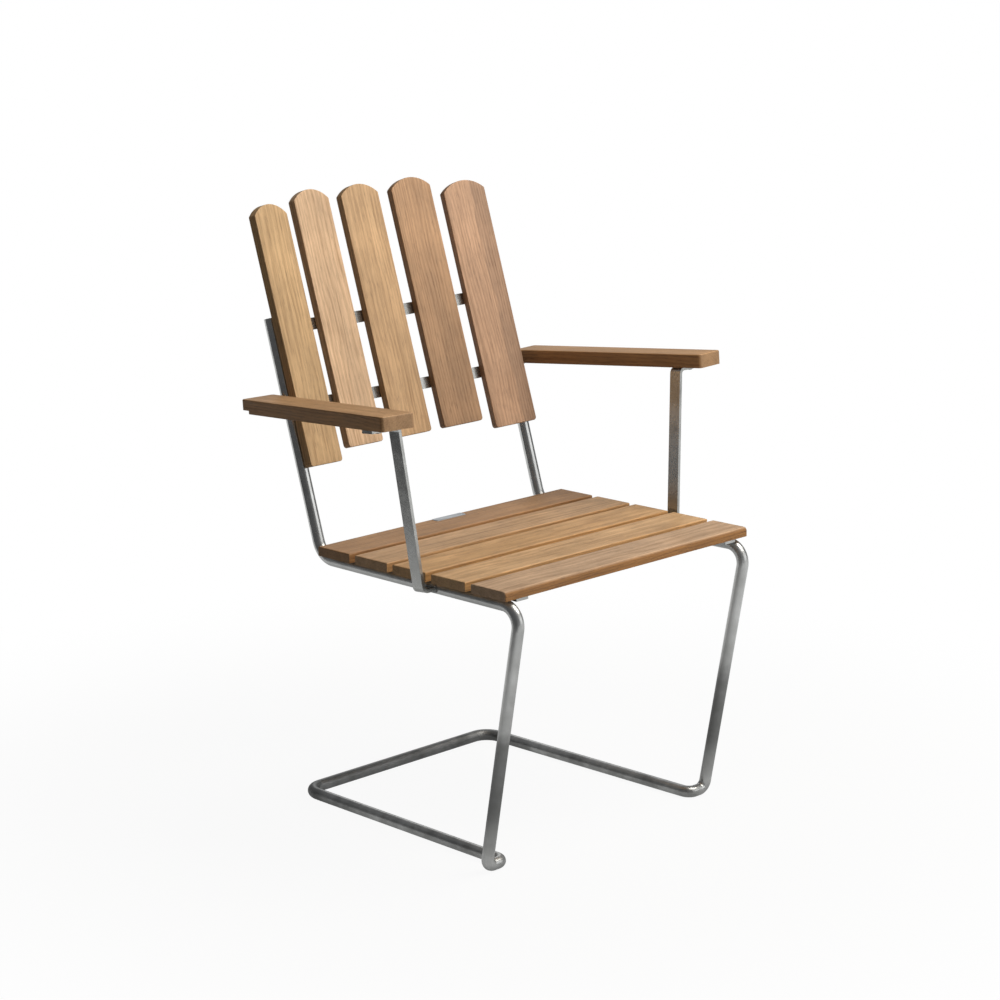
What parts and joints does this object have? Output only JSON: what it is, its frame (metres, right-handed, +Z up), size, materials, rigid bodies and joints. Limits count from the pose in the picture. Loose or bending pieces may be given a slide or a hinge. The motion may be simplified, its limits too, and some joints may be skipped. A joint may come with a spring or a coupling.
{
  "type": "garden armchair",
  "caption": "Sprung garden armchair: cantilevered bent round-bar steel frame with a floor loop, wooden seat and back slats, and wooden arms on flat-bar posts.",
  "frame": {"origin": "on the floor, below the middle of the chair's width and depth", "axes": "+Z up, -Y the way the sitter faces, +X to the sitter's left"},
  "size_m": [0.7132, 0.5972, 0.9184],
  "materials": {
    "teak": "oiled, fine straight grain",
    "galvanised_bar": "hot-dip galvanised round bar, dull grey with light mottling",
    "galvanised_flat": "hot-dip galvanised flat bar",
    "screw_steel": "plain stainless screws",
    "plate_metal": "thin satin plate, left blank"
  },
  "bodies": {
    "base": {"floor_runner_left": "galvanised_bar", "floor_runner_right": "galvanised_bar", "front_bend_left": "galvanised_bar", "front_bend_right": "galvanised_bar", "front_leg_left": "galvanised_bar", "front_leg_right": "galvanised_bar", "rear_crossbar": "galvanised_bar"},
    "seat": {"arm_bracket_left": "galvanised_flat", "arm_bracket_right": "galvanised_flat", "arm_post_left": "galvanised_flat", "arm_post_right": "galvanised_flat", "arm_rest_left": "teak", "arm_rest_right": "teak", "arm_screws": "screw_steel", "back_screws": "screw_steel", "back_slat_1": "teak", "back_slat_2": "teak", "back_slat_3": "teak", "back_slat_4": "teak", "back_slat_5": "teak", "back_strap_lower": "galvanised_flat", "back_strap_upper": "galvanised_flat", "back_upright_left": "galvanised_bar", "back_upright_right": "galvanised_bar", "rear_plate": "plate_metal", "seat_iron_left": "galvanised_flat", "seat_iron_right": "galvanised_flat", "seat_rail_left": "galvanised_bar", "seat_rail_right": "galvanised_bar", "seat_screws": "screw_steel", "seat_slat_1": "teak", "seat_slat_2": "teak", "seat_slat_3": "teak", "seat_slat_4": "teak", "seat_slat_5": "teak"}
  },
  "joints": [
    {"name": "seat_spring", "type": "hinge", "parent": "base", "child": "seat", "pos_m": [0, -0.28484, 0.3937], "axis": [-1, 0, 0], "range_deg": [-1.5, 6], "stiffness_Nm_per_rad": 2600, "springref_deg": -0.46, "deforming": ["front_bend_left", "front_bend_right"]}
  ]
}
